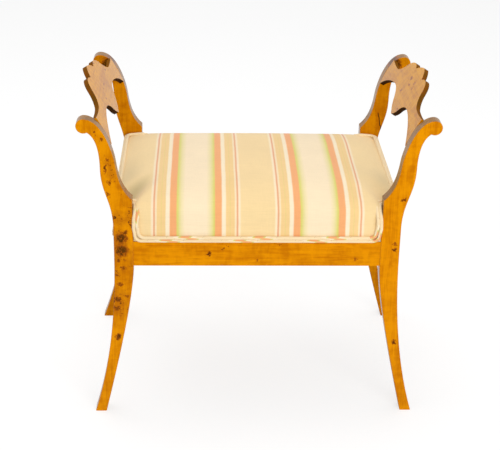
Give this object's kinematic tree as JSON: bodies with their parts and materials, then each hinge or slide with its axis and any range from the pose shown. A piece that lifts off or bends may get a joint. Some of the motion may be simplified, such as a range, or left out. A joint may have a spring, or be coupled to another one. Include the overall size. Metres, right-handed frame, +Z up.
{
  "type": "wooden stool",
  "caption": "Upholstered window stool with sabre legs, outward scrolled arm posts, lobed arm panels and a striped stuffed seat with double welt.",
  "frame": {"origin": "on the floor, midway between the four posts", "axes": "+Z up from the floor, X across the seat from arm to arm, the front towards -Y"},
  "size_m": [0.6686, 0.4234, 0.6475],
  "materials": {
    "birch": "golden honey birch, shellac polish",
    "pine": "bare sawn softwood",
    "stripe": "striped cotton in buff, cream, salmon and green",
    "welt": "bias-cut striped cotton over cord",
    "webbing": "jute webbing",
    "hessian": "plain woven jute",
    "stuffing": "hair and fibre under calico",
    "screw_steel": "dulled steel",
    "tack_iron": "blued iron"
  },
  "bodies": {
    "root": {"post_front_left": "birch", "post_front_right": "birch", "post_rear_left": "birch", "post_rear_right": "birch", "rail_front": "birch", "rail_rear": "birch", "rail_left": "birch", "rail_right": "birch", "arm_panel_left": "birch", "arm_panel_right": "birch", "corner_block_front_left": "pine", "corner_block_front_right": "pine", "corner_block_rear_left": "pine", "corner_block_rear_right": "pine", "webbing_long_1": "webbing", "webbing_long_2": "webbing", "webbing_long_3": "webbing", "webbing_cross_1": "webbing", "webbing_cross_2": "webbing", "webbing_cross_3": "webbing", "webbing_cross_4": "webbing", "seat_cover": "stripe", "side_gusset_left": "stripe", "side_gusset_right": "stripe", "welt_front": "welt", "welt_rear": "welt", "welt_left": "welt", "welt_right": "welt", "hessian": "hessian", "stuffing": "stuffing", "corner_screws": "screw_steel", "webbing_tacks": "tack_iron", "cover_tacks": "tack_iron"}
  },
  "joints": []
}
